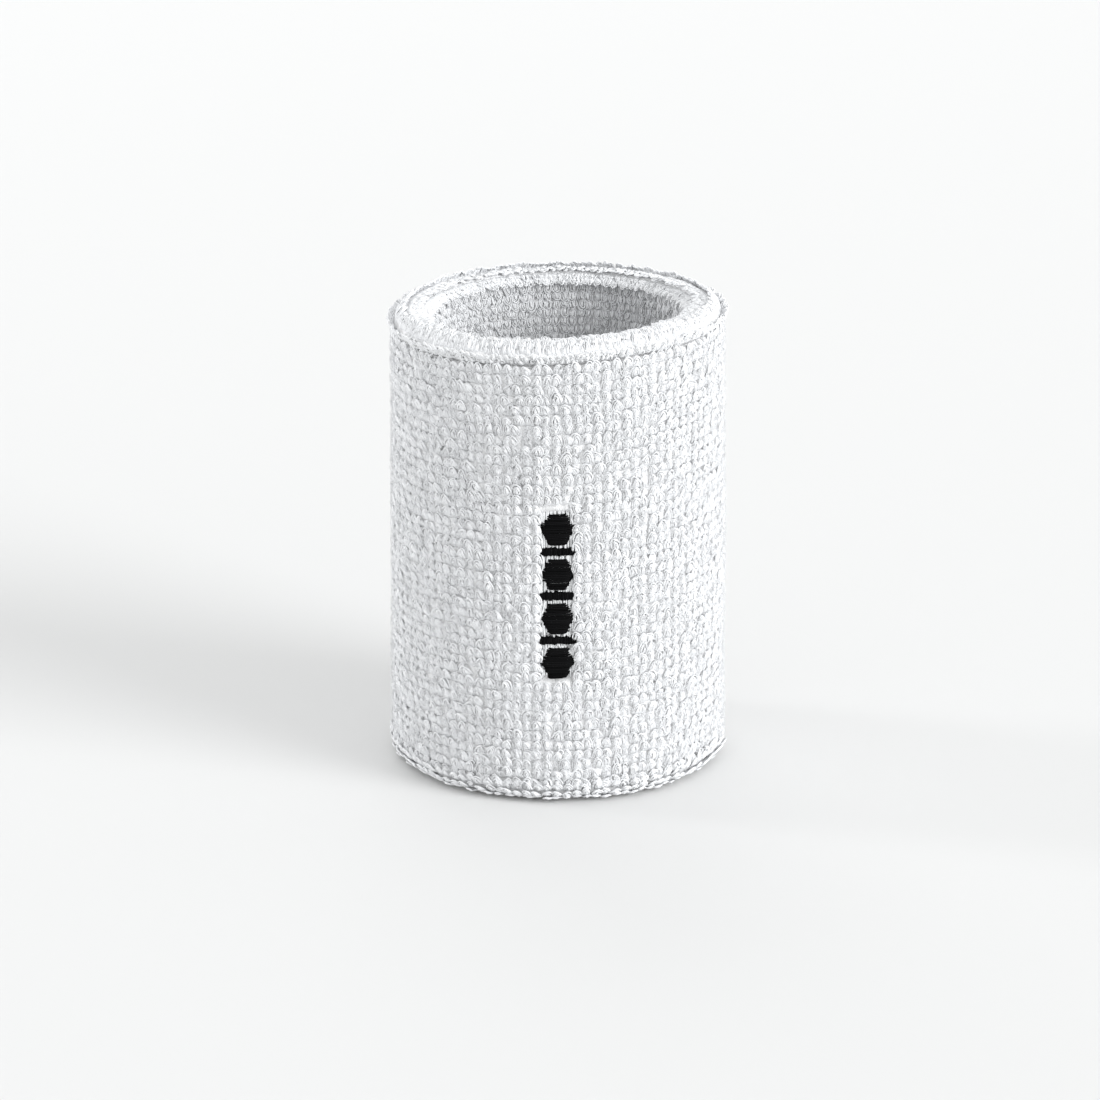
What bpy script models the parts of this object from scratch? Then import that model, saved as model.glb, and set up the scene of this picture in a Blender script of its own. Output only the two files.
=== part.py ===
"""Terry sweat wristband: a double layer of elastic terry knit, turned in on itself and seamed under the top edge.

Units are metres, +Z is up, and the origin is the centre of the ring that the band stands on.
The front of the band, with the embroidered mark, faces -Y.
"""

import math

import bpy

# Driving dimensions
HEIGHT = 0.080
OUTER_RADIUS = 0.0283
GAP = 0.0003  # left between neighbouring layers

# How the soft band sits out of true: the top edge leans and twists, and the foot is a little wider
RISE_RIGHT = 0.00084
RISE_FRONT = 0.00074
TWIST = 0.00064
FLARE = 0.00025

# Thickness of each layer, from the outside in
OUTER_PILE = 0.0012
GROUND = 0.0004
ELASTIC = 0.00035
BACKING = 0.00015
BOBBIN = 0.00015
INNER_PILE = 0.0008

# Edges and the closing seam
ROLL_HEIGHT = 0.0026
ROLL_WIDTH = 0.0059
FOLD_HEIGHT = 0.0034
FOLD_CORNER_OUT = 0.0028
FOLD_CORNER_IN = 0.0012
SEAM_GROOVE = 0.0009
SEAM_THREAD = 0.00025

# Embroidered mark: a column of lozenges with a bar between each pair
MARK_HEIGHT = 0.0288
MARK_WIDTH = 0.0062
MARK_CENTRE = 0.0366
LOZENGES = 4
BAR_HEIGHT = 0.0013
MARK_GAP = 0.0005
MARK_THICKNESS = 0.00035
UNDERLAY_THICKNESS = 0.0002
UNDERLAY_MARGIN = 0.0006
PATCH_CORNER = 0.0010

# Smoothness
SEGMENTS = 72
YARN_TURNS = 6
YARN_SEGMENTS = 28
THREAD_SIDES = 6
CORNER_STEPS = 4
ROLL_STEPS = 11

# Radii worked out from the layers above, each pair (inner, outer)
PILE_OUT = (OUTER_RADIUS - OUTER_PILE, OUTER_RADIUS)
GROUND_OUT = (PILE_OUT[0] - GAP - GROUND, PILE_OUT[0] - GAP)
# A yarn is straight between its points, so its coil dips inwards by this much.
YARN_DIP = GROUND_OUT[0] * (1 - math.cos(math.pi / YARN_SEGMENTS))
YARN_OUT_RADIUS = GROUND_OUT[0] - GAP - ELASTIC / 2
BACKING_OUTSIDE = YARN_OUT_RADIUS - ELASTIC / 2 - YARN_DIP - GAP
BACKING_RADII = (BACKING_OUTSIDE - BACKING, BACKING_OUTSIDE)
BOBBIN_RADII = (BACKING_RADII[0] - GAP - BOBBIN, BACKING_RADII[0] - GAP)
YARN_IN_RADIUS = BOBBIN_RADII[0] - GAP - ELASTIC / 2
GROUND_IN_OUTSIDE = YARN_IN_RADIUS - ELASTIC / 2 - YARN_DIP - GAP
GROUND_IN = (GROUND_IN_OUTSIDE - GROUND, GROUND_IN_OUTSIDE)
PILE_IN = (GROUND_IN[0] - GAP - INNER_PILE, GROUND_IN[0] - GAP)
UNDERLAY_RADII = (GROUND_OUT[1] + GAP, GROUND_OUT[1] + GAP + UNDERLAY_THICKNESS)
MARK_RADII = (UNDERLAY_RADII[1] + GAP, UNDERLAY_RADII[1] + GAP + MARK_THICKNESS)

# Heights
ROLL_BASE = HEIGHT - ROLL_HEIGHT
LAYER_FOOT = FOLD_HEIGHT + GAP
LAYER_TOP = ROLL_BASE - GAP
PILE_TOP = ROLL_BASE - SEAM_GROOVE
UNDERLAY_WIDTH = MARK_WIDTH + 2 * UNDERLAY_MARGIN
UNDERLAY_HEIGHT = MARK_HEIGHT + 2 * UNDERLAY_MARGIN
LOZENGE_HEIGHT = (MARK_HEIGHT - (LOZENGES - 1) * (BAR_HEIGHT + 2 * MARK_GAP)) / LOZENGES


def clear_scene():
    """Remove whatever the file opened with."""
    for thing in list(bpy.data.objects):
        bpy.data.objects.remove(thing)


def new_collection(name):
    """A collection linked to the scene."""
    collection = bpy.data.collections.new(name)
    bpy.context.scene.collection.children.link(collection)
    return collection


def new_material(name, colour, roughness):
    """A plain Principled material."""
    material = bpy.data.materials.new(name)
    material.use_nodes = True
    shader = material.node_tree.nodes["Principled BSDF"]
    shader.inputs["Base Color"].default_value = (*colour, 1)
    shader.inputs["Roughness"].default_value = roughness
    return material


def add_object(name, data, collection):
    """An object holding the given mesh, curve or lattice."""
    thing = bpy.data.objects.new(name, data)
    collection.objects.link(thing)
    return thing


def leaning_cage():
    """A box cage round the band, which gives every layer the same lean, twist and flare."""
    data = bpy.data.lattices.new("leaning_cage")
    data.points_u = data.points_v = data.points_w = 2
    data.interpolation_type_u = data.interpolation_type_v = data.interpolation_type_w = "KEY_LINEAR"
    for point in data.points:
        right, back, up = (math.copysign(1, side) for side in point.co)
        spread = 1 - up * FLARE / OUTER_RADIUS
        rise = 0
        if up > 0:
            rise = right * RISE_RIGHT - back * RISE_FRONT - right * back * TWIST
        across, along, height = point.co
        point.co_deform = (across * spread, along * spread, height + rise / HEIGHT)
    cage = add_object("leaning_cage", data, parts)
    cage.location = (0, 0, HEIGHT / 2)
    cage.scale = (2 * OUTER_RADIUS, 2 * OUTER_RADIUS, HEIGHT)
    return cage


def lean(piece):
    """Deform the piece with the rest of the band."""
    follow = piece.modifiers.new("lean", "LATTICE")
    follow.object = cage


def turned(name, profile, material):
    """A ring turned about Z from a closed profile that runs down its outer side."""
    mesh = bpy.data.meshes.new(name)
    count = len(profile)
    corners = [(radius, 0, height) for radius, height in profile]
    edges = [(i, (i + 1) % count) for i in range(count)]
    mesh.from_pydata(corners, edges, [])
    mesh.materials.append(material)
    piece = add_object(name, mesh, parts)
    turn = piece.modifiers.new("turn", "SCREW")
    turn.axis = "Z"
    turn.steps = turn.render_steps = SEGMENTS
    turn.use_merge_vertices = True
    turn.merge_threshold = 0.00001
    turn.use_smooth_shade = True
    return piece


def tube_profile(radii, foot, top):
    """The section of a plain tube wall."""
    inner, outer = radii
    return [(outer, top), (outer, foot), (inner, foot), (inner, top)]


def arc(centre, radii, first, last, steps):
    """Points along an elliptical arc, the angles in degrees."""
    points = []
    for i in range(steps + 1):
        angle = math.radians(first + (last - first) * i / steps)
        across = centre[0] + radii[0] * math.cos(angle)
        up = centre[1] + radii[1] * math.sin(angle)
        points.append((across, up))
    return points


def prism(name, outline):
    """A cutter with the given (x, z) outline that passes through the front wall."""
    back = -GROUND_IN[0]
    mesh = bpy.data.meshes.new(name)
    mesh.from_pydata([(x, back, z) for x, z in outline], [], [range(len(outline))])
    cutter = add_object(name, mesh, cutters)
    cutter.hide_render = True
    cutter.display_type = "WIRE"
    depth = cutter.modifiers.new("depth", "SOLIDIFY")
    depth.thickness = 2 * OUTER_PILE + OUTER_RADIUS - GROUND_IN[0]
    depth.offset = 1
    return cutter


def cut(piece, cutter, operation):
    """Cut the piece with a prism."""
    boolean = piece.modifiers.new(operation.lower(), "BOOLEAN")
    boolean.operation = operation
    boolean.solver = "EXACT"
    boolean.object = cutter


def rounded_box(width, height, corner):
    """An (x, z) outline centred on the mark, counter-clockwise seen from the front."""
    side = width / 2 - corner
    end = height / 2 - corner
    outline = []
    for quarter, (right, up) in enumerate([(1, 1), (-1, 1), (-1, -1), (1, -1)]):
        centre = (right * side, MARK_CENTRE + up * end)
        outline += arc(centre, (corner, corner), 90 * quarter, 90 * quarter + 90, CORNER_STEPS)
    return outline


def lozenge(centre):
    """A six-sided outline, pointed left and right."""
    half = MARK_WIDTH / 2
    flat = half / 2
    rise = LOZENGE_HEIGHT / 2
    return [
        (half, centre),
        (flat, centre + rise),
        (-flat, centre + rise),
        (-half, centre),
        (-flat, centre - rise),
        (flat, centre - rise),
    ]


def bar(centre):
    """A short upright-sided bar as wide as the mark."""
    half = MARK_WIDTH / 2
    rise = BAR_HEIGHT / 2
    return [
        (half, centre - rise),
        (half, centre + rise),
        (-half, centre + rise),
        (-half, centre - rise),
    ]


def curved_plate(name, outline, radii, material):
    """A thin plate with the given outline, bent round the band."""
    bottom = min(z for x, z in outline) - GAP
    top = max(z for x, z in outline) + GAP
    plate = turned(name, tube_profile(radii, bottom, top), material)
    cut(plate, prism(name + "_outline", outline), "INTERSECT")
    lean(plate)
    return plate


def knit_tube(name, radii, top, material):
    """One layer of the wall, from the bottom fold up to the given height."""
    return turned(name, tube_profile(radii, LAYER_FOOT, top), material)


def outer_layers():
    """Outer terry pile, opened round the mark, on its ground knit."""
    pile = knit_tube("outer_terry_pile", PILE_OUT, PILE_TOP, terry)
    window = rounded_box(UNDERLAY_WIDTH + 2 * GAP, UNDERLAY_HEIGHT + 2 * GAP, PATCH_CORNER + GAP)
    cut(pile, prism("pile_window", window), "DIFFERENCE")
    lean(pile)
    ground = knit_tube("outer_ground_knit", GROUND_OUT, LAYER_TOP, knit)
    lean(ground)


def inner_layers():
    """Inner terry pile against the wrist, on its ground knit."""
    pile = knit_tube("inner_terry_pile", PILE_IN, LAYER_TOP, terry)
    lean(pile)
    ground = knit_tube("inner_ground_knit", GROUND_IN, LAYER_TOP, knit)
    lean(ground)


def top_edge():
    """The rolled terry edge round the opening."""
    middle = OUTER_RADIUS - ROLL_WIDTH / 2
    shoulder = ROLL_HEIGHT / 5
    centre = (middle, ROLL_BASE + shoulder)
    radii = (ROLL_WIDTH / 2, ROLL_HEIGHT - shoulder)
    crown = arc(centre, radii, 180, 0, ROLL_STEPS)
    foot = [
        (OUTER_RADIUS - shoulder / 2, ROLL_BASE),
        (OUTER_RADIUS - ROLL_WIDTH + shoulder / 2, ROLL_BASE),
    ]
    edge = turned("top_rolled_edge", crown + foot, terry)
    lean(edge)


def bottom_edge():
    """The folded terry edge that the band stands on, flat underneath."""
    outer_centre = (OUTER_RADIUS - FOLD_CORNER_OUT, FOLD_CORNER_OUT)
    inner_centre = (PILE_IN[0] + FOLD_CORNER_IN, FOLD_CORNER_IN)
    profile = [(OUTER_RADIUS, FOLD_HEIGHT)]
    profile += arc(outer_centre, (FOLD_CORNER_OUT, FOLD_CORNER_OUT), 0, -90, CORNER_STEPS)
    profile += arc(inner_centre, (FOLD_CORNER_IN, FOLD_CORNER_IN), -90, -180, CORNER_STEPS)
    profile += [(PILE_IN[0], FOLD_HEIGHT)]
    edge = turned("bottom_folded_edge", profile, terry)
    lean(edge)


def seam_ring(name, inside):
    """One thread of the closing seam, lying in the groove under the rolled edge."""
    radius = SEAM_THREAD / 2
    centre = (inside + radius, (PILE_TOP + ROLL_BASE) / 2)
    section = arc(centre, (radius, radius), 0, -360, THREAD_SIDES)[:-1]
    thread = turned(name, section, sewing_thread)
    lean(thread)


def closing_seam():
    """The looper thread against the knit, and the needle thread over it."""
    inside = GROUND_OUT[1] + GAP
    seam_ring("seam_looper_thread", inside)
    seam_ring("seam_needle_thread", inside + SEAM_THREAD + GAP)


def elastic_coil(name, radius):
    """A bare elastic yarn wound round the band from edge to edge."""
    data = bpy.data.curves.new(name, "CURVE")
    data.dimensions = "3D"
    data.bevel_depth = ELASTIC / 2
    data.bevel_resolution = 2
    data.use_fill_caps = True
    data.materials.append(elastic)
    steps = YARN_TURNS * YARN_SEGMENTS
    foot = LAYER_FOOT + ELASTIC
    climb = LAYER_TOP - ELASTIC - foot
    spline = data.splines.new("POLY")
    spline.points.add(steps)
    for i, point in enumerate(spline.points):
        angle = 2 * math.pi * i / YARN_SEGMENTS
        height = foot + climb * i / steps
        point.co = (radius * math.cos(angle), radius * math.sin(angle), height, 1)
    yarn = add_object(name, data, parts)
    close_caps = yarn.modifiers.new("close_caps", "WELD")
    close_caps.merge_threshold = 0.00001
    lean(yarn)


def embroidery():
    """The mark, the white stitches it sits on, and what holds it behind the ground knit."""
    underlay = rounded_box(UNDERLAY_WIDTH, UNDERLAY_HEIGHT, PATCH_CORNER)
    curved_plate("embroidery_underlay", underlay, UNDERLAY_RADII, white_thread)
    bobbin = rounded_box(MARK_WIDTH, MARK_HEIGHT, PATCH_CORNER)
    curved_plate("embroidery_bobbin_thread", bobbin, BOBBIN_RADII, white_thread)
    backing_width = UNDERLAY_WIDTH + 4 * UNDERLAY_MARGIN
    backing_height = UNDERLAY_HEIGHT + 4 * UNDERLAY_MARGIN
    backing = rounded_box(backing_width, backing_height, PATCH_CORNER)
    curved_plate("embroidery_backing", backing, BACKING_RADII, nonwoven)

    pitch = LOZENGE_HEIGHT + BAR_HEIGHT + 2 * MARK_GAP
    first = MARK_CENTRE - MARK_HEIGHT / 2 + LOZENGE_HEIGHT / 2
    for i in range(LOZENGES):
        outline = lozenge(first + i * pitch)
        curved_plate(f"mark_lozenge_{i + 1}", outline, MARK_RADII, black_thread)
    for i in range(LOZENGES - 1):
        outline = bar(first + (i + 0.5) * pitch)
        curved_plate(f"mark_bar_{i + 1}", outline, MARK_RADII, black_thread)


clear_scene()
parts = new_collection("sweat_wristband")
cutters = new_collection("cutters")

terry = new_material("terry_cotton", (0.90, 0.91, 0.92), 0.95)
knit = new_material("ground_knit", (0.84, 0.85, 0.86), 0.90)
elastic = new_material("elastic_yarn", (0.80, 0.79, 0.76), 0.55)
nonwoven = new_material("nonwoven_backing", (0.86, 0.86, 0.85), 0.85)
sewing_thread = new_material("sewing_thread", (0.88, 0.89, 0.90), 0.60)
white_thread = new_material("white_embroidery_thread", (0.90, 0.91, 0.92), 0.45)
black_thread = new_material("black_embroidery_thread", (0.012, 0.012, 0.013), 0.45)

cage = leaning_cage()
outer_layers()
inner_layers()
top_edge()
bottom_edge()
closing_seam()
elastic_coil("outer_elastic_yarn", YARN_OUT_RADIUS)
elastic_coil("inner_elastic_yarn", YARN_IN_RADIUS)
embroidery()
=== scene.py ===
"""Looks, light and camera for the terry sweat wristband.

Every terry loop is a tube of yarn. Tufts of nested loops stand in courses on the outer wall, over the
rolled edge, down the inner wall and round the folded foot, and lean the way the pile was knitted. A base
cloth swells behind them and loose fibres lie over them. The mark is laid in satin stitches.
All lengths are in metres, in the same frame as the CAD: +Z up, the front of the band towards -Y.
"""
import math

import bpy
import numpy as np
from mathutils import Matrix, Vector


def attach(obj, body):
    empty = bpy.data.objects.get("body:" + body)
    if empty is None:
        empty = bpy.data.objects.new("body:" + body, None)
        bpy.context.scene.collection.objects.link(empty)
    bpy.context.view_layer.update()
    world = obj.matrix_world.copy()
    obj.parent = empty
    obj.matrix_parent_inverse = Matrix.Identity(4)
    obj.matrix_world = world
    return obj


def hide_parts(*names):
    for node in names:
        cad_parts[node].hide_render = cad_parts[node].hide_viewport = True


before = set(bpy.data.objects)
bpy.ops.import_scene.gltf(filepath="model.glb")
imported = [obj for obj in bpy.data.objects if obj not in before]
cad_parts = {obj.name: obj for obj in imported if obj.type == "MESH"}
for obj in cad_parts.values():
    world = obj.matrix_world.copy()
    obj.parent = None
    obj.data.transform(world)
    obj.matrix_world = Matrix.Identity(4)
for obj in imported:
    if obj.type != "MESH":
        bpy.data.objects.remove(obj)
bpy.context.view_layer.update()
rng = np.random.default_rng(7)

MM = 0.001

# The band's shape, as in the CAD
HEIGHT = 80 * MM
RADIUS = 28.3 * MM
RISE_RIGHT = 0.84 * MM
RISE_FRONT = 0.74 * MM
TWIST = 0.64 * MM
FLARE = 0.25 * MM
ROLL_BASE = 77.4 * MM
PILE_TOP = 76.5 * MM
MARK_CENTRE = 36.6 * MM
MARK_WIDTH = 6.2 * MM
MARK_HEIGHT = 28.8 * MM
LOZENGES = 4
BAR_HEIGHT = 1.3 * MM
MARK_GAP = 0.5 * MM

# Base cloth: the two radii of each wall, taken out to where the loops are packed too close to see between
OUTER_KNIT = (26.4 * MM, 27.72 * MM)
INNER_KNIT = (22.55 * MM, 23.5 * MM)
WALL_FOOT = 3.3 * MM
WALL_HEAD = 76.3 * MM
LUMP = 0.19 * MM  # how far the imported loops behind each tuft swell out
LUMP_STEPS = 4  # steps of the mesh over one lump
PRESSED = 0.72 * MM  # how far the cloth lies back under the mark and at the ends of the wall

# Pile: one tuft of nested loops at each crossing of a wale and a course
OUTER_FEET = 27.6 * MM
INNER_FEET = 22.7 * MM
STRAND = 0.13 * MM  # radius of one strand of yarn
WALE_PITCH = 1.70 * MM
COURSE_PITCH = 1.72 * MM
INNER_PITCH = 1.50 * MM  # both ways, on the finer inner face
FIRST_COURSE = 2.58 * MM
TUFT_RISE = 1.05 * MM  # from the foot of a tuft up to its middle
JITTER = 0.08  # how far the foot of a tuft strays from the lattice, as a share of the pitch
INNERMOST = 0.12  # width of the innermost strand of a tuft, as a share of the outermost
LEG = 52  # degrees that each leg of a loop carries on past a half circle, so the loop closes in at its feet
LEG_DEPTH = 0.79  # how far that takes the feet below the middle of the circle, whose radius is 1
CROWDED = 0.45 * MM  # how far beside the mark the pushed-out tufts stand
CLEARED = 0.9 * MM  # how far below the mark, and inwards from its sides, tufts are moved or left out

# How unevenly the pile stands, for a tuft and then for a strand in it: angles in radians, sizes as shares
LEAN = 0.12  # the whole pile aims this far to one side
AIM_SPREAD = (0.12, 0.06)
TURN_SPREAD = (0.10, 0.08)
LENGTH_SPREAD = (0.09, 0.04)
WIDTH_SPREAD = (0.08, 0.05)
SLUMP_SPREAD = (0.12, 0.04)
STOOP_SPREAD = 0.08
STRAND_SPREAD = 0.12

# Loose fibres over the outer pile
FIBRE = 0.025 * MM  # radius of one fibre
FIBRE_REACH = 1.7 * MM
FIBRE_BOW = 0.75 * MM
FIBRE_LEVEL = 27.95 * MM  # radius that the fibres bow out from
FIBRES_PER_BAND = 8000

OUTER_WALES = int(2 * math.pi * RADIUS / WALE_PITCH)
INNER_WALES = int(2 * math.pi * INNER_FEET / INNER_PITCH)


# ---------------------------------------------------------------- shape of the soft wall

def smooth_step(value, low, high):
    """0 below low, 1 above high, and smooth between."""
    t = np.clip((value - low) / (high - low), 0, 1)
    return t * t * (3 - 2 * t)


def from_the_front(angle):
    """Distance round the wall from the middle of the front, positive to the right."""
    half_turn = math.pi * RADIUS
    return (RADIUS * (angle + math.pi / 2) + half_turn) % (2 * half_turn) - half_turn


def beyond_the_mark(angle, height):
    """Distance outside the rectangle that the mark fills, and 0 within it."""
    beyond_side = np.maximum(np.abs(from_the_front(angle)) - MARK_WIDTH / 2, 0)
    beyond_end = np.maximum(np.abs(height - MARK_CENTRE) - MARK_HEIGHT / 2, 0)
    return np.hypot(beyond_side, beyond_end)


def wall_relief(angle, height):
    """How far the soft outer wall stands proud of a true cylinder, from handling and from the embroidery."""
    along = from_the_front(angle)
    waves = 0.12 * np.sin(3 * angle + 40 * height + 1.1) + 0.10 * np.sin(5 * angle - 95 * height + 0.4)
    waves += 0.07 * np.sin(9 * angle + 170 * height + 2.0)
    crease = 0.40 * np.exp(-np.abs(along + 3.2 * MM) / (4.5 * MM)) * smooth_step(height, 0.040, 0.060)
    pull = -0.40 * np.exp(-(beyond_the_mark(angle, height) / (2.6 * MM)) ** 2)
    return (waves + crease + pull) * MM


def settle(points):
    """Take points on the true cylinder to where the soft, leaning band really has them."""
    points = np.asarray(points, dtype=float)
    x, y, z = points[..., 0], points[..., 1], points[..., 2]
    radius = np.hypot(x, y)
    angle = np.arctan2(y, x)
    near_outside = smooth_step(radius, 24.5 * MM, 26.3 * MM)
    off_the_ends = smooth_step(z, 0, 6 * MM) * (1 - 0.7 * smooth_step(z, 70 * MM, 78 * MM))
    stretch = 1 + wall_relief(angle, z) * near_outside * off_the_ends / np.maximum(radius, MM)
    stretch = stretch * (1 - (2 * z / HEIGHT - 1) * FLARE / RADIUS)
    right, back = x / RADIUS, y / RADIUS
    rise = right * RISE_RIGHT - back * RISE_FRONT - right * back * TWIST
    return np.stack([x * stretch, y * stretch, z + rise * z / HEIGHT], axis=-1)


# ---------------------------------------------------------------- meshes

def mesh_object(name, points, faces, material, attributes=None, smooth=True):
    """A mesh object from an array of points and a list of equal-sided face arrays."""
    mesh = bpy.data.meshes.new(name)
    corners = np.concatenate([f.ravel() for f in faces]).astype(np.int32)
    sizes = np.concatenate([np.full(len(f), f.shape[1]) for f in faces]).astype(np.int32)
    starts = np.concatenate([[0], np.cumsum(sizes)[:-1]]).astype(np.int32)
    mesh.vertices.add(len(points))
    mesh.vertices.foreach_set("co", points.astype(np.float32).ravel())
    mesh.loops.add(len(corners))
    mesh.loops.foreach_set("vertex_index", corners)
    mesh.polygons.add(len(sizes))
    mesh.polygons.foreach_set("loop_start", starts)
    mesh.update(calc_edges=True)
    mesh.validate()
    for label, values in (attributes or {}).items():
        layer = mesh.attributes.new(label, "FLOAT", "POINT")
        layer.data.foreach_set("value", np.asarray(values, dtype=np.float32).ravel())
    if smooth:
        mesh.shade_smooth()
    mesh.materials.append(material)
    thing = bpy.data.objects.new(name, mesh)
    bpy.context.scene.collection.objects.link(thing)
    return thing


def tubes(paths, radius, sides, reference):
    """Points and faces of closed yarn tubes along paths, an array of (tube, ring, xyz).

    reference is a direction for each tube that its path never runs along.
    """
    count, rings, _ = paths.shape
    heading = np.gradient(paths, axis=1)
    heading /= np.linalg.norm(heading, axis=2, keepdims=True)
    side = np.cross(heading, reference[:, None, :])
    side /= np.linalg.norm(side, axis=2, keepdims=True)
    other = np.cross(heading, side)
    turn = 2 * math.pi * np.arange(sides) / sides
    radius = np.broadcast_to(np.asarray(radius, dtype=float).reshape(-1, 1, 1, 1), (count, 1, 1, 1))
    offset = side[:, :, None, :] * np.cos(turn)[:, None] + other[:, :, None, :] * np.sin(turn)[:, None]
    points = paths[:, :, None, :] + radius * offset
    first = np.arange(count)[:, None, None] * rings * sides
    ring = np.arange(rings - 1)[None, :, None] * sides
    a = np.arange(sides)[None, None, :]
    b = (a + 1) % sides
    here = first + ring
    ahead = here + sides
    quads = np.stack([here + a, here + b, ahead + b, ahead + a], -1)
    start_cap = first[:, 0, :] + np.arange(sides)[::-1]
    end_cap = first[:, 0, :] + (rings - 1) * sides + np.arange(sides)
    return points.reshape(-1, 3), [quads.reshape(-1, 4), np.concatenate([start_cap, end_cap])]


def spun(profile, steps):
    """Points and faces of a ring turned from a closed (radius, height) outline, run down its outside."""
    profile = np.asarray(profile)
    angle = 2 * math.pi * np.arange(steps) / steps
    x = np.cos(angle)[:, None] * profile[:, 0]
    y = np.sin(angle)[:, None] * profile[:, 0]
    z = np.broadcast_to(profile[:, 1], x.shape)
    points = np.stack([x, y, z], -1).reshape(-1, 3)
    count = len(profile)
    here = np.arange(steps)[:, None] * count
    ahead = (np.arange(steps)[:, None] + 1) % steps * count
    a = np.arange(count)[None, :]
    b = (a + 1) % count
    quads = np.stack([here + a, here + b, ahead + b, ahead + a], -1).reshape(-1, 4)
    return points, [quads]


# ---------------------------------------------------------------- terry loops

def uneven(count, amount):
    """Factors around 1, one for each of count things."""
    return 1 + amount * rng.standard_normal(count).clip(-2, 2)


def tuft_habits(count, length, width):
    """How each of count tufts stands, every one a little differently."""
    aim = AIM_SPREAD[0] * rng.standard_normal(count) - LEAN
    return {
        "aim": aim,
        "turn": aim + TURN_SPREAD[0] * rng.standard_normal(count),
        "tone": rng.random(count),
        "length": length * uneven(count, LENGTH_SPREAD[0]),
        "width": width * uneven(count, WIDTH_SPREAD[0]),
        "stoop": STOOP_SPREAD * rng.standard_normal(count).clip(-2, 2),
        "slump": SLUMP_SPREAD[0] * rng.standard_normal(count).clip(-2, 2),
    }


def strand_habits(tufts, strands):
    """How each strand stands, from the habits of its tuft: inner strands are narrower and shorter."""
    own = {habit: np.repeat(values, strands) for habit, values in tufts.items()}
    total = len(own["aim"])
    own["nesting"] = np.tile(np.linspace(1, INNERMOST, strands), total // strands)
    own["aim"] = own["aim"] + AIM_SPREAD[1] * rng.standard_normal(total)
    own["turn"] = own["turn"] + TURN_SPREAD[1] * rng.standard_normal(total)
    own["length"] = own["length"] * (0.68 + 0.32 * own["nesting"]) * uneven(total, LENGTH_SPREAD[1])
    own["width"] = own["width"] * own["nesting"] * uneven(total, WIDTH_SPREAD[1])
    own["skew"] = own["width"] * (own["slump"] + SLUMP_SPREAD[1] * rng.standard_normal(total))
    return own


def bent_loops(own, start, finish, rings):
    """Distances across the cloth, out of it and along it, for every ring of every strand.

    A loop sets off at the angle start from the normal and has bent over to the angle finish at its crown.
    Inner strands stand a little more upright.
    """
    first = start + own["stoop"] - 0.35 * (1 - own["nesting"])
    last = finish + own["stoop"] - 0.20 * (1 - own["nesting"])
    angle = np.radians(np.linspace(-LEG, 180 + LEG, rings))
    share = (np.sin(angle) + LEG_DEPTH) / (1 + LEG_DEPTH)  # 0 at the feet, 1 at the crown
    turned = first[:, None] + (last - first)[:, None] * share
    rate = (own["length"] / (last - first))[:, None]
    across = own["width"][:, None] / 2 * np.cos(angle)
    rise = rate * (np.sin(turned) - np.sin(first)[:, None])
    drift = rate * (np.cos(first)[:, None] - np.cos(turned))
    sway = own["skew"][:, None] * np.sin(2 * angle) * share
    return across, rise, drift + sway


def loop_field(feet, normal, up, length, width, start, finish, strands, sides, rings):
    """Terry tufts at the given feet, each of several strands looped one inside another.

    normal and up are unit directions at each foot: out of the cloth, and the way the pile leans.
    """
    own = strand_habits(tuft_habits(len(feet), length, width), strands)
    across, rise, lie = bent_loops(own, start, finish, rings)
    feet, normal, up = (np.repeat(vectors, strands, axis=0) for vectors in (feet, normal, up))
    side = np.cross(up, normal)
    aim = own["aim"][:, None]
    turn = own["turn"][:, None]
    towards = up * np.cos(aim) + side * np.sin(aim)
    wide = side * np.cos(turn) - up * np.sin(turn)
    paths = wide[:, None, :] * across[:, :, None]
    paths = paths + normal[:, None, :] * rise[:, :, None]
    paths = paths + towards[:, None, :] * lie[:, :, None]
    paths = feet[:, None, :] + paths
    radius = STRAND * uneven(len(feet), STRAND_SPREAD)
    points, faces = tubes(paths, radius, sides, np.cross(wide, normal))
    shade = 0.6 * own["tone"] + 0.4 * rng.random(len(feet))
    return points, faces, {"shade": np.repeat(shade, rings * sides)}


def part_for_the_mark(angle, height):
    """Crowd tufts out to the sides of the mark; also says which of them are left standing."""
    side = from_the_front(angle)
    beside = MARK_WIDTH / 2 + CROWDED
    lowest = MARK_CENTRE - MARK_HEIGHT / 2 - CLEARED
    highest = MARK_CENTRE + MARK_HEIGHT / 2 + 0.1 * MM
    under = (height > lowest) & (height < highest) & (np.abs(side) < beside)
    pushed = under & (np.abs(side) > MARK_WIDTH / 2 - CLEARED)
    side = np.where(pushed, np.sign(side) * beside, side)
    return side / RADIUS - math.pi / 2, pushed | ~under


def course_feet(profile, wales, part=None):
    """Feet, normals and pile directions of every course along an open (radius, height) profile.

    part moves the tufts of a course and says which of them stand, given their angles and their height.
    """
    profile = np.asarray(profile)
    step = np.gradient(profile, axis=0)
    step /= np.linalg.norm(step, axis=1, keepdims=True)
    feet, normals, ups = [], [], []
    for (radius, height), (d_r, d_z) in zip(profile, step):
        angle = 2 * math.pi * np.arange(wales) / wales
        angle = angle + JITTER * rng.standard_normal(wales) * 2 * math.pi / wales
        slip = 0.4 * JITTER * rng.standard_normal(wales) * COURSE_PITCH
        if part:
            angle, left = part(angle, height)
            angle, slip = angle[left], slip[left]
        r = radius + slip * d_r
        cos, sin, level = np.cos(angle), np.sin(angle), np.ones(len(angle))
        feet.append(np.stack([r * cos, r * sin, height + slip * d_z], -1))
        ups.append(np.stack([d_r * cos, d_r * sin, d_z * level], -1))
        normals.append(np.stack([d_z * cos, d_z * sin, -d_r * level], -1))
    return np.concatenate(feet), np.concatenate(normals), np.concatenate(ups)


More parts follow.
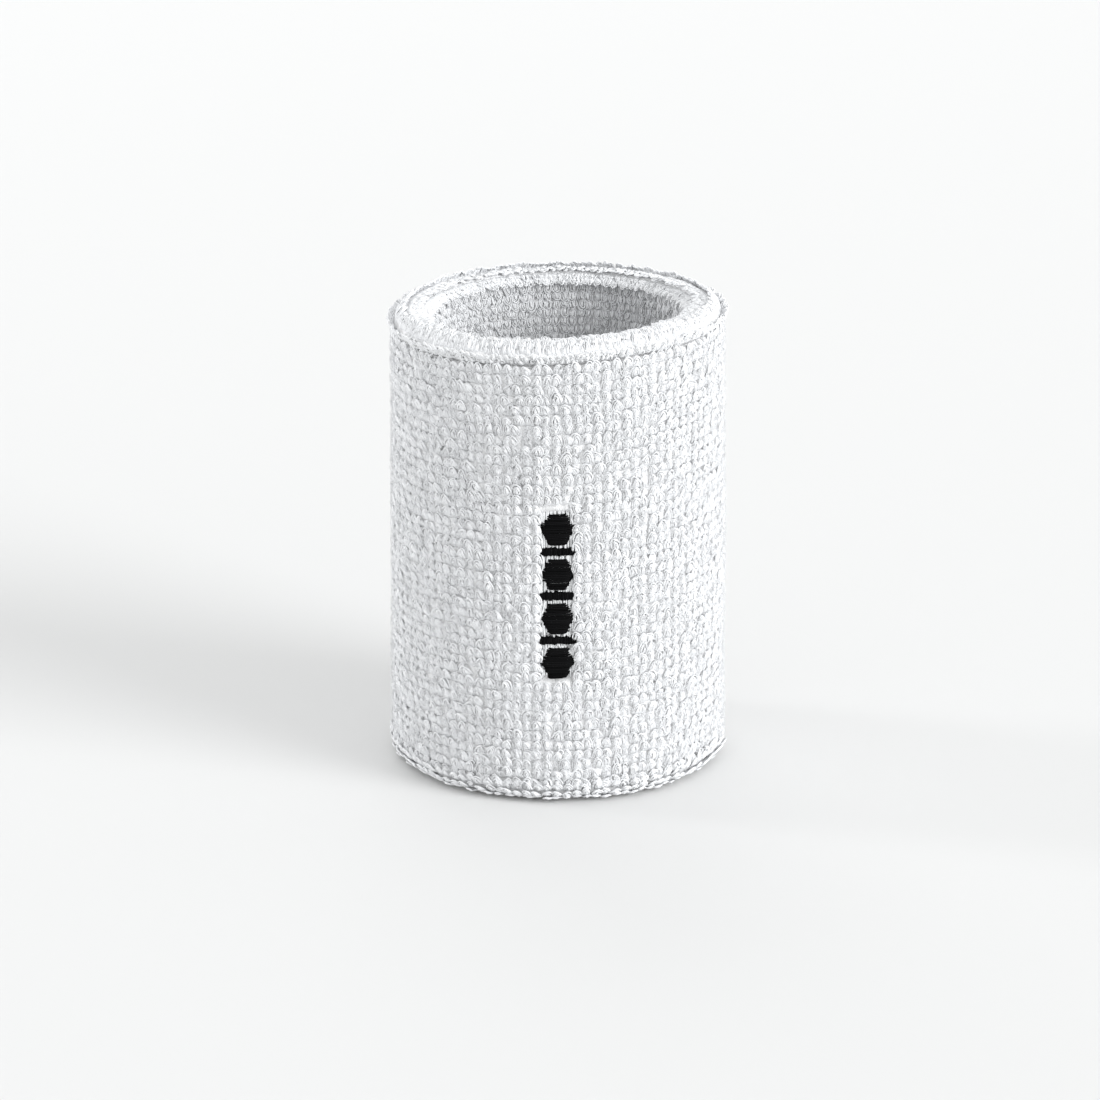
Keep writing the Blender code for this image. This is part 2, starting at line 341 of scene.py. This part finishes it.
def cotton_piece(name, points, faces, attributes, node_name):
    """A piece of terry yarn, riding on the body and standing for its CAD node."""
    piece = mesh_object(name, points, faces, terry, attributes)
    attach(piece, "root")
    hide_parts(node_name)
    return piece


def pile(name, profile, wales, node_name, part=None, **shape):
    """One band of terry pile along a profile, settled with the band and never below the floor."""
    feet, normals, ups = course_feet(profile, wales, part)
    points, faces, attributes = loop_field(feet, normals, ups, **shape)
    points = settle(points)
    points[:, 2] = np.maximum(points[:, 2], 0.02 * MM)
    return cotton_piece(name, points, faces, attributes, node_name)


def fuzz(name, foot, top, node_name):
    """Cotton fibres worked loose from the outer pile between two heights, each bowed off the wall."""
    angle = rng.uniform(-math.pi, math.pi, FIBRES_PER_BAND)
    height = rng.uniform(foot, top, FIBRES_PER_BAND)
    clear_of_the_mark = beyond_the_mark(angle, height) > 0.4 * MM
    angle = angle[clear_of_the_mark]
    height = height[clear_of_the_mark]
    count = len(angle)
    heading = rng.uniform(0, 2 * math.pi, count)
    reach = FIBRE_REACH * rng.uniform(0.6, 1.3, count)
    bow = FIBRE_BOW * rng.uniform(0.3, 1.2, count)
    t = np.linspace(0, 1, 4)
    run = reach[:, None] * (t - 0.5)
    bend = 0.3 * reach[:, None] * np.sin(2 * math.pi * t) * rng.uniform(-1, 1, (count, 1))
    across = run * np.cos(heading)[:, None] - bend * np.sin(heading)[:, None]
    up = run * np.sin(heading)[:, None] + bend * np.cos(heading)[:, None]
    out = FIBRE_LEVEL + bow[:, None] * np.sin(math.pi * (0.1 + 0.7 * t))
    turn = angle[:, None] + across / FIBRE_LEVEL
    paths = np.stack([out * np.cos(turn), out * np.sin(turn), height[:, None] + up], -1)
    reference = np.stack([np.cos(angle), np.sin(angle), np.zeros(count)], -1)
    points, faces = tubes(paths, FIBRE, 3, reference)
    shade = np.repeat(rng.random(count), len(t) * 3)
    return cotton_piece(name, settle(points), faces, {"shade": shade}, node_name)


# ---------------------------------------------------------------- materials

def shader_tree(name, roughness, sheen=0.0, specular=0.3):
    """A Principled material, its node tree and its shader."""
    material = bpy.data.materials.new(name)
    material.use_nodes = True
    tree = material.node_tree
    shader = tree.nodes["Principled BSDF"]
    shader.inputs["Roughness"].default_value = roughness
    shader.inputs["Sheen Weight"].default_value = sheen
    shader.inputs["Sheen Roughness"].default_value = 0.5
    shader.inputs["Specular IOR Level"].default_value = specular
    return material, tree, shader


def node(tree, kind, **values):
    """A node with its named inputs or properties set."""
    made = tree.nodes.new(kind)
    for key, value in values.items():
        if key in made.inputs:
            made.inputs[key].default_value = value
        else:
            setattr(made, key, value)
    return made


def ramp(tree, source, stops):
    """A colour ramp fed from a socket, with (position, colour) stops."""
    made = tree.nodes.new("ShaderNodeValToRGB")
    tree.links.new(source, made.inputs[0])
    elements = made.color_ramp.elements
    elements[0].position, elements[0].color = stops[0][0], (*stops[0][1], 1)
    elements[1].position, elements[1].color = stops[-1][0], (*stops[-1][1], 1)
    for position, colour in stops[1:-1]:
        element = elements.new(position)
        element.color = (*colour, 1)
    return made.outputs["Color"]


def noise(tree, scale, detail=3.0):
    """Noise in the object's own metres."""
    place = tree.nodes.new("ShaderNodeTexCoord")
    texture = node(tree, "ShaderNodeTexNoise", Scale=scale, Detail=detail)
    tree.links.new(place.outputs["Object"], texture.inputs["Vector"])
    return texture.outputs["Fac"]


def bump(tree, shader, height, distance, strength):
    """Bump from a height socket."""
    made = node(tree, "ShaderNodeBump", Distance=distance, Strength=strength)
    tree.links.new(height, made.inputs["Height"])
    tree.links.new(made.outputs["Normal"], shader.inputs["Normal"])


def vary_roughness(tree, shader, source, low, high):
    """Roughness that follows a socket between two values."""
    spread = node(tree, "ShaderNodeMapRange")
    spread.inputs["To Min"].default_value = low
    spread.inputs["To Max"].default_value = high
    tree.links.new(source, spread.inputs["Value"])
    tree.links.new(spread.outputs["Result"], shader.inputs["Roughness"])


def terry_material():
    """Bleached cotton pile yarn: a slightly different white on each loop, and fine fibres along it."""
    material, tree, shader = shader_tree("white_terry_cotton", 0.9, sheen=0.25, specular=0.25)
    shade = node(tree, "ShaderNodeAttribute", attribute_name="shade")
    whites = ramp(tree, shade.outputs["Fac"], [(0, (0.85, 0.857, 0.87)), (1, (0.91, 0.917, 0.93))])
    tree.links.new(whites, shader.inputs["Base Color"])
    fibres = noise(tree, 9000, 2.0)
    vary_roughness(tree, shader, fibres, 0.78, 0.98)
    bump(tree, shader, fibres, 0.00006, 0.6)
    return material


def knit_material():
    """Cotton ground under the loops: mottled white with fibres running up the band. It is painted a lighter
    white than the loops, as painted light that fills the shade in the gaps between tufts.
    """
    material, tree, shader = shader_tree("ground_knit_cotton", 0.9, sheen=0.2)
    # Painted light: these whites sit above the loops' whites, so the gaps between tufts show lighter than
    # their shade.
    tone = ramp(tree, noise(tree, 700), [(0.3, (0.88, 0.88, 0.885)), (0.7, (0.92, 0.92, 0.925))])
    tree.links.new(tone, shader.inputs["Base Color"])
    place = tree.nodes.new("ShaderNodeTexCoord")
    stretch = node(tree, "ShaderNodeMapping", Scale=(5000, 5000, 1200))
    fibres = node(tree, "ShaderNodeTexNoise", Scale=1.0, Detail=2.0)
    tree.links.new(place.outputs["Object"], stretch.inputs["Vector"])
    tree.links.new(stretch.outputs["Vector"], fibres.inputs["Vector"])
    vary_roughness(tree, shader, fibres.outputs["Fac"], 0.8, 0.98)
    bump(tree, shader, fibres.outputs["Fac"], 0.0002, 0.8)
    return material


def thread_material(name, dark, light, roughness, sheen, specular):
    """Twisted thread: a fine ply along each stitch and a small change of tone from stitch to stitch."""
    material, tree, shader = shader_tree(name, roughness, sheen, specular)
    shade = node(tree, "ShaderNodeAttribute", attribute_name="shade")
    tones = ramp(tree, shade.outputs["Fac"], [(0, dark), (1, light)])
    tree.links.new(tones, shader.inputs["Base Color"])
    ply = node(tree, "ShaderNodeTexWave", Scale=1500.0, Distortion=2.0, bands_direction="DIAGONAL")
    place = tree.nodes.new("ShaderNodeTexCoord")
    tree.links.new(place.outputs["Object"], ply.inputs["Vector"])
    vary_roughness(tree, shader, ply.outputs["Fac"], roughness - 0.1, roughness + 0.1)
    bump(tree, shader, ply.outputs["Fac"], 0.00004, 0.6)
    return material


def hidden_material(name, dark, light, roughness, scale):
    """A layer inside the wall, with a mottled tone and grain of its own."""
    material, tree, shader = shader_tree(name, roughness)
    grain = noise(tree, scale)
    tree.links.new(ramp(tree, grain, [(0.3, dark), (0.7, light)]), shader.inputs["Base Color"])
    vary_roughness(tree, shader, grain, roughness - 0.12, roughness + 0.08)
    bump(tree, shader, grain, 0.0001, 0.5)
    return material


terry = terry_material()
knit = knit_material()
black_thread = thread_material(
    "black_satin_thread", (0.002, 0.002, 0.0022), (0.006, 0.006, 0.0065),
    roughness=0.6, sheen=0.0, specular=0.05
)
white_thread = thread_material(
    "white_satin_thread", (0.80, 0.81, 0.82), (0.92, 0.93, 0.94), roughness=0.38, sheen=0.1, specular=0.5
)
seam_thread = thread_material(
    "seam_thread", (0.78, 0.79, 0.80), (0.88, 0.89, 0.90), roughness=0.6, sheen=0.1, specular=0.35
)
elastic = hidden_material(
    "elastic_yarn_rubber", (0.70, 0.69, 0.65), (0.84, 0.83, 0.80), roughness=0.55, scale=4000
)
nonwoven = hidden_material(
    "nonwoven_backing_sheet", (0.80, 0.80, 0.79), (0.90, 0.90, 0.89), roughness=0.85, scale=2500
)


# ---------------------------------------------------------------- base cloth under the loops

def open_pile(angle, height):
    """1 where the pile stands free, falling to 0 under the mark and where the wall turns in at its ends."""
    beside_mark = smooth_step(beyond_the_mark(angle, height), 0.1 * MM, 0.9 * MM)
    above_foot = smooth_step(height, WALL_FOOT - 0.3 * MM, WALL_FOOT + 1.4 * MM)
    below_groove = 1 - smooth_step(height, WALL_HEAD - 1.2 * MM, WALL_HEAD + 0.3 * MM)
    return beside_mark * above_foot * below_groove


def swell(points, face, wales, pitch, rise, outward):
    """Points with the face of a wall at one radius swollen into a soft lump behind each tuft.

    outward is 1 on the outer wall, which also lies back where no pile stands, and -1 on the inner wall.
    """
    x, y, z = points.T
    radius = np.hypot(x, y)
    angle = np.arctan2(y, x)
    lumps = (np.cos(wales * angle) + np.cos(2 * math.pi * (z - FIRST_COURSE - rise) / pitch)) / 2
    swollen = outward * LUMP * lumps
    if outward > 0:
        standing = open_pile(angle, z)
        swollen = swollen * standing - PRESSED * (1 - standing)
    on_the_face = np.abs(radius - face) < 0.01 * MM
    factor = np.where(on_the_face, 1 + swollen / radius, 1)
    return np.stack([x * factor, y * factor, z], -1)


def base_cloth(name, points, faces, node_name):
    """A ring of ground knit, settled with the band."""
    piece = mesh_object(name, settle(points), faces, knit)
    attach(piece, "root")
    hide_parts(node_name)
    return piece


def wall_profile(radii, foot, top, rows):
    """A tube wall's outline, with rows enough down its outside to follow the soft shape."""
    inner, outer = radii
    down = [(outer, z) for z in np.linspace(top, foot, rows)]
    back_up = [(inner, z) for z in np.linspace(foot, top, INSIDE_ROWS)]
    return down + back_up


def ellipse_arc(centre, radii, first, last, steps):
    """Points along an elliptical arc, the angles in degrees."""
    angle = np.radians(np.linspace(first, last, steps))
    return np.stack([centre[0] + radii[0] * np.cos(angle), centre[1] + radii[1] * np.sin(angle)], -1)


RING_STEPS = 180  # round each plain ring of cloth
INSIDE_ROWS = 8
wall_rows = int((WALL_HEAD - WALL_FOOT) / COURSE_PITCH * LUMP_STEPS)

points, faces = spun(wall_profile(OUTER_KNIT, WALL_FOOT, WALL_HEAD, wall_rows), OUTER_WALES * LUMP_STEPS)
points = swell(points, OUTER_KNIT[1], OUTER_WALES, COURSE_PITCH, TUFT_RISE, 1)
outer_cloth = base_cloth("outer_knit_cloth", points, faces, "outer_ground_knit")

points, faces = spun(wall_profile(INNER_KNIT, WALL_FOOT, ROLL_BASE, wall_rows), INNER_WALES * LUMP_STEPS)
points = swell(points, INNER_KNIT[0], INNER_WALES, INNER_PITCH, -TUFT_RISE, -1)
inner_cloth = base_cloth("inner_knit_cloth", points, faces, "inner_ground_knit")

# The rolled edge: radius and height of its middle, and half-sizes of its cloth and of its tufts' feet
ROLL_CENTRE = (25.15 * MM, 77.75 * MM)
ROLL_CORE = (2.68 * MM, 1.78 * MM)
ROLL_FEET = (2.48 * MM, 1.58 * MM)
roll_outline = ellipse_arc(ROLL_CENTRE, ROLL_CORE, 90, -270, 33)[:-1]
points, faces = spun(roll_outline, RING_STEPS)
base_cloth("rolled_edge_cloth", points, faces, "top_rolled_edge")

# The groove that the closing seam pulls in between the roll and the wall
GROOVE = (24.0 * MM, 26.7 * MM)
groove_outline = wall_profile(GROOVE, WALL_HEAD - 0.5 * MM, ROLL_BASE + 0.2 * MM, 4)
points, faces = spun(groove_outline, RING_STEPS)
seam_cloth = base_cloth("seam_groove_cloth", points, faces, "outer_ground_knit")

# The folded foot: two rounded corners, each a centre and two half-sizes, and turned-up ends behind the walls
FOOT_OUT = (25.5 * MM, 2.4 * MM)
FOOT_CORNER = (1.85 * MM, 1.55 * MM)
FOOT_FEET = (1.85 * MM, 1.6 * MM)
FOOT_IN = (24.0 * MM, 1.6 * MM)
INNER_CORNER = (1.6 * MM, 1.4 * MM)
foot_outline = np.concatenate([
    [(FOOT_OUT[0] + FOOT_CORNER[0], WALL_FOOT + 0.6 * MM)],
    ellipse_arc(FOOT_OUT, FOOT_CORNER, 0, -90, 8),
    ellipse_arc(FOOT_IN, INNER_CORNER, -90, -180, 6),
    [(22.5 * MM, WALL_FOOT + 0.2 * MM)],
])
points, faces = spun(foot_outline, RING_STEPS)
base_cloth("folded_foot_cloth", points, faces, "bottom_folded_edge")


# ---------------------------------------------------------------- pile

OUTER_BANDS = 14
INNER_BANDS = 9
FUZZ_BANDS = 4

# The last outer course stops where its crowns reach the groove
wall_shape = dict(length=2.1 * MM, width=1.75 * MM, start=0.95, finish=1.75, strands=4, sides=4, rings=10)
outer_heights = np.arange(FIRST_COURSE, WALL_HEAD - 1.4 * MM, COURSE_PITCH)
for i, heights in enumerate(np.array_split(outer_heights, OUTER_BANDS)):
    profile = [(OUTER_FEET, z) for z in heights]
    band = pile(
        f"outer_pile_{i + 1}", profile, OUTER_WALES, "outer_terry_pile", part_for_the_mark, **wall_shape
    )

fuzz_levels = np.linspace(WALL_FOOT, PILE_TOP, FUZZ_BANDS + 1)
for i in range(FUZZ_BANDS):
    fuzz(f"outer_fuzz_{i + 1}", fuzz_levels[i], fuzz_levels[i + 1], "outer_terry_pile")

# The inner face was knitted like the outer one and then turned in, so its pile leans down
inner_shape = dict(length=1.9 * MM, width=1.50 * MM, start=0.9, finish=1.8, strands=3, sides=4, rings=9)
inner_heights = np.arange(FIRST_COURSE + INNER_PITCH, ROLL_BASE + 0.3 * MM, INNER_PITCH)[::-1]
for i, heights in enumerate(np.array_split(inner_heights, INNER_BANDS)):
    profile = [(INNER_FEET, z) for z in heights]
    pile(f"inner_pile_{i + 1}", profile, INNER_WALES, "inner_terry_pile", **inner_shape)

# The rim's thinner tufts run from the groove over the roll to the inner pile, two courses to a piece
RIM_COURSES = 8
rim_shape = dict(length=2.0 * MM, width=0.90 * MM, start=0.85, finish=1.85, strands=3, sides=4, rings=9)
rim_courses = ellipse_arc(ROLL_CENTRE, ROLL_FEET, -38, 155, RIM_COURSES)
for i in range(0, RIM_COURSES, 2):
    pile(f"rim_pile_{i // 2 + 1}", rim_courses[i:i + 2], 2 * OUTER_WALES, "top_rolled_edge", **rim_shape)

foot_shape = dict(length=2.1 * MM, width=1.75 * MM, start=0.9, finish=1.8, strands=4, sides=4, rings=10)
foot_courses = ellipse_arc(FOOT_OUT, FOOT_FEET, -75, -5, 3)
pile("foot_pile", foot_courses, OUTER_WALES, "bottom_folded_edge", **foot_shape)


# ---------------------------------------------------------------- embroidery

def on_the_wall(side, height, radius):
    """Points at a distance round from the middle of the front, a height and a radius."""
    angle = side / RADIUS - math.pi / 2
    return np.stack([radius * np.cos(angle), radius * np.sin(angle), height], -1)


def stitches(starts, ends, low, high, thread, rings=9):
    """Paths of satin stitches from start to end (side, height), each arching from low to high and back."""
    t = np.linspace(0, 1, rings)
    arch = low + (high - low) * (1 - np.abs(2 * t - 1) ** 8)
    route = starts[:, None, :] * (1 - t)[None, :, None] + ends[:, None, :] * t[None, :, None]
    lift = 0.05 * MM * rng.standard_normal((len(starts), 1))
    paths = on_the_wall(route[..., 0], route[..., 1], arch[None, :] + lift)
    reference = paths[:, rings // 2, :] * [1, 1, 0]
    reference /= np.linalg.norm(reference, axis=1, keepdims=True)
    points, faces = tubes(paths, thread, 6, reference)
    shade = np.repeat(rng.random(len(starts)), rings * 6)
    return points, faces, {"shade": shade}


def embroider(name, starts, ends, low, high, thread, material, node_name):
    """One embroidered piece laid in stitches, standing for its CAD node."""
    points, faces, attributes = stitches(starts, ends, low, high, thread)
    piece = mesh_object(name, settle(points), faces, material, attributes)
    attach(piece, "root")
    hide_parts(node_name)
    return piece


def ragged(count, amount):
    """Small uneven offsets for the ends of stitches."""
    return amount * rng.uniform(-1, 1, count)


STITCH = 0.30 * MM  # from one satin stitch to the next
BLACK_THREAD = 0.17 * MM  # thread radii
WHITE_THREAD = 0.18 * MM
MARK_LOW = 27.35 * MM
MARK_HIGH = 27.95 * MM
lozenge_height = (MARK_HEIGHT - (LOZENGES - 1) * (BAR_HEIGHT + 2 * MARK_GAP)) / LOZENGES
pitch = lozenge_height + BAR_HEIGHT + 2 * MARK_GAP
first_lozenge = MARK_CENTRE - MARK_HEIGHT / 2 + lozenge_height / 2

for i in range(LOZENGES):
    centre = first_lozenge + i * pitch
    rows = np.arange(centre - lozenge_height / 2 + STITCH / 2, centre + lozenge_height / 2, STITCH)
    half = MARK_WIDTH / 2 * (1 - 0.5 * np.abs(rows - centre) / (lozenge_height / 2))
    starts = np.stack([-half + ragged(len(rows), 0.16 * MM), rows + ragged(len(rows), 0.05 * MM)], -1)
    ends = np.stack([half + ragged(len(rows), 0.16 * MM), rows + ragged(len(rows), 0.05 * MM)], -1)
    embroider(f"lozenge_stitches_{i + 1}", starts, ends, MARK_LOW, MARK_HIGH, BLACK_THREAD, black_thread,
              f"mark_lozenge_{i + 1}")

for i in range(LOZENGES - 1):
    centre = first_lozenge + (i + 0.5) * pitch
    columns = np.arange(-MARK_WIDTH / 2 + STITCH / 2, MARK_WIDTH / 2, STITCH)
    foot = centre - BAR_HEIGHT / 2 + ragged(len(columns), 0.14 * MM)
    head = centre + BAR_HEIGHT / 2 + ragged(len(columns), 0.14 * MM)
    starts = np.stack([columns, foot], -1)
    ends = np.stack([columns + 0.1 * MM, head], -1)
    embroider(f"bar_stitches_{i + 1}", starts, ends, MARK_LOW, MARK_HIGH, BLACK_THREAD, black_thread,
              f"mark_bar_{i + 1}")

# White stitches that hold the pile down round and between the black shapes, in staggered vertical runs
UNDER_LOW = 27.0 * MM
UNDER_HIGH = 27.48 * MM
UNDER_HEIGHT = MARK_HEIGHT + 0.6 * MM
UNDER_STITCH = 2.4 * MM
UNDER_SPACING = 0.38 * MM
columns = np.arange(-MARK_WIDTH / 2, MARK_WIDTH / 2, UNDER_SPACING)
rows = np.arange(-UNDER_HEIGHT / 2, UNDER_HEIGHT / 2 - 0.5 * UNDER_STITCH, UNDER_STITCH)
side, foot = (grid.ravel() for grid in np.meshgrid(columns, MARK_CENTRE + rows))
foot = foot + UNDER_STITCH * 0.5 * rng.random(len(foot))
head = np.minimum(foot + UNDER_STITCH * 1.1, MARK_CENTRE + UNDER_HEIGHT / 2)
side = side + ragged(len(side), 0.08 * MM)
starts = np.stack([side, foot], -1)
ends = np.stack([side + ragged(len(side), 0.25 * MM), head], -1)
embroider("underlay_stitches", starts, ends, UNDER_LOW, UNDER_HIGH, WHITE_THREAD, white_thread,
          "embroidery_underlay")


# ---------------------------------------------------------------- closing seam

def ring_thread(name, radius, height, node_name):
    """A closed thread round the groove, with its radius and height at each of the seam's angles."""
    path = np.stack([radius * np.cos(seam_angle), radius * np.sin(seam_angle), height], -1)
    points, faces = tubes(settle(path)[None], SEAM_THREAD, 6, np.array([[0.0, 0.0, 1.0]]))
    piece = mesh_object(name, points, faces, seam_thread, {"shade": np.full(len(points), 0.5)})
    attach(piece, "root")
    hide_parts(node_name)
    return piece


SEAM_HEIGHT = (PILE_TOP + ROLL_BASE) / 2
SEAM_STITCHES = 84
SEAM_THREAD = 0.12 * MM
LOOPER_RADIUS = 27.15 * MM
NEEDLE_RADIUS = 27.35 * MM
seam_angle = np.linspace(0, 2 * math.pi, SEAM_STITCHES * 8 + 1)

looper_wave = SEAM_HEIGHT + 0.3 * MM * np.sin(SEAM_STITCHES * seam_angle)
ring_thread("seam_looper_wave", np.full_like(seam_angle, LOOPER_RADIUS), looper_wave, "seam_looper_thread")

needle_dip = NEEDLE_RADIUS + SEAM_THREAD * np.cos(SEAM_STITCHES * seam_angle)
ring_thread("seam_needle_line", needle_dip, np.full_like(seam_angle, SEAM_HEIGHT), "seam_needle_thread")


# ---------------------------------------------------------------- CAD nodes that stay

for name, material in [
    ("outer_elastic_yarn", elastic),
    ("inner_elastic_yarn", elastic),
    ("embroidery_backing", nonwoven),
    ("embroidery_bobbin_thread", white_thread),
]:
    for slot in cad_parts[name].material_slots:
        slot.material = material


# ---------------------------------------------------------------- floor, light and camera

def floor():
    """A pale sheet of paper large enough to fill the picture."""
    half = 6.0
    corners = half * np.array([(-1.0, -1.0, 0.0), (1.0, -1.0, 0.0), (1.0, 1.0, 0.0), (-1.0, 1.0, 0.0)])
    paper, _, shader = shader_tree("studio_paper", 0.9)
    shader.inputs["Base Color"].default_value = (0.745, 0.745, 0.74, 1)
    thing = mesh_object("studio_floor", corners, [np.array([[0, 1, 2, 3]])], paper, smooth=False)


def area_light(name, place, target, size, power):
    """A square white soft box aimed at a point."""
    data = bpy.data.lights.new(name, "AREA")
    data.shape = "SQUARE"
    data.size = size
    data.energy = power
    lamp = bpy.data.objects.new(name, data)
    lamp.location = place
    lamp.rotation_euler = (Vector(target) - Vector(place)).to_track_quat("-Z", "Y").to_euler()
    bpy.context.scene.collection.objects.link(lamp)


def distant_light(name, towards, spread, strength, colour=(1.0, 1.0, 1.0)):
    """A light so far off that it falls evenly, from the given direction, spread over an angle in degrees."""
    data = bpy.data.lights.new(name, "SUN")
    data.angle = math.radians(spread)
    data.energy = strength
    data.color = colour
    lamp = bpy.data.objects.new(name, data)
    lamp.rotation_euler = Vector(towards).to_track_quat("Z", "Y").to_euler()
    bpy.context.scene.collection.objects.link(lamp)


def studio_light():
    """A soft key and a wide side light from the right, two fainter lights, and a bright white room."""
    distant_light("key", (1.25, -0.75, 0.59), 30, 1.85, (0.99, 0.995, 1.0))
    distant_light("fill", (-1.0, 0.25, 0.14), 12, 1.40)
    distant_light("front", (0.27, -1.0, 0.20), 45, 0.25)
    distant_light("side", (1.0, -0.60, 0.19), 60, 0.95, (0.97, 0.985, 1.0))
    area_light("back", (-0.3, 1.6, 1.2), (0, 0.7, 0), 1.2, 5.0)
    world = bpy.data.worlds.new("white_room")
    world.use_nodes = True
    background = world.node_tree.nodes["Background"]
    background.inputs["Color"].default_value = (0.985, 0.995, 1.0, 1)
    background.inputs["Strength"].default_value = 0.83
    bpy.context.scene.world = world


def camera():
    """The photograph's view: a long lens a metre away, looking down at under twenty degrees."""
    distance = 0.9593
    elevation = math.radians(18.66)
    aim = Vector((-0.00132, 0, 0.0358))
    place = Vector((0, -distance * math.cos(elevation), distance * math.sin(elevation) + 0.0384))
    data = bpy.data.cameras.new("camera")
    data.lens = 183.1
    data.sensor_width = 36
    data.clip_end = 100
    thing = bpy.data.objects.new("camera", data)
    thing.location = place
    thing.rotation_euler = (aim - place).to_track_quat("-Z", "Y").to_euler()
    bpy.context.scene.collection.objects.link(thing)
    bpy.context.scene.camera = thing


floor()
studio_light()
camera()
bpy.context.scene.view_settings.view_transform = "Standard"
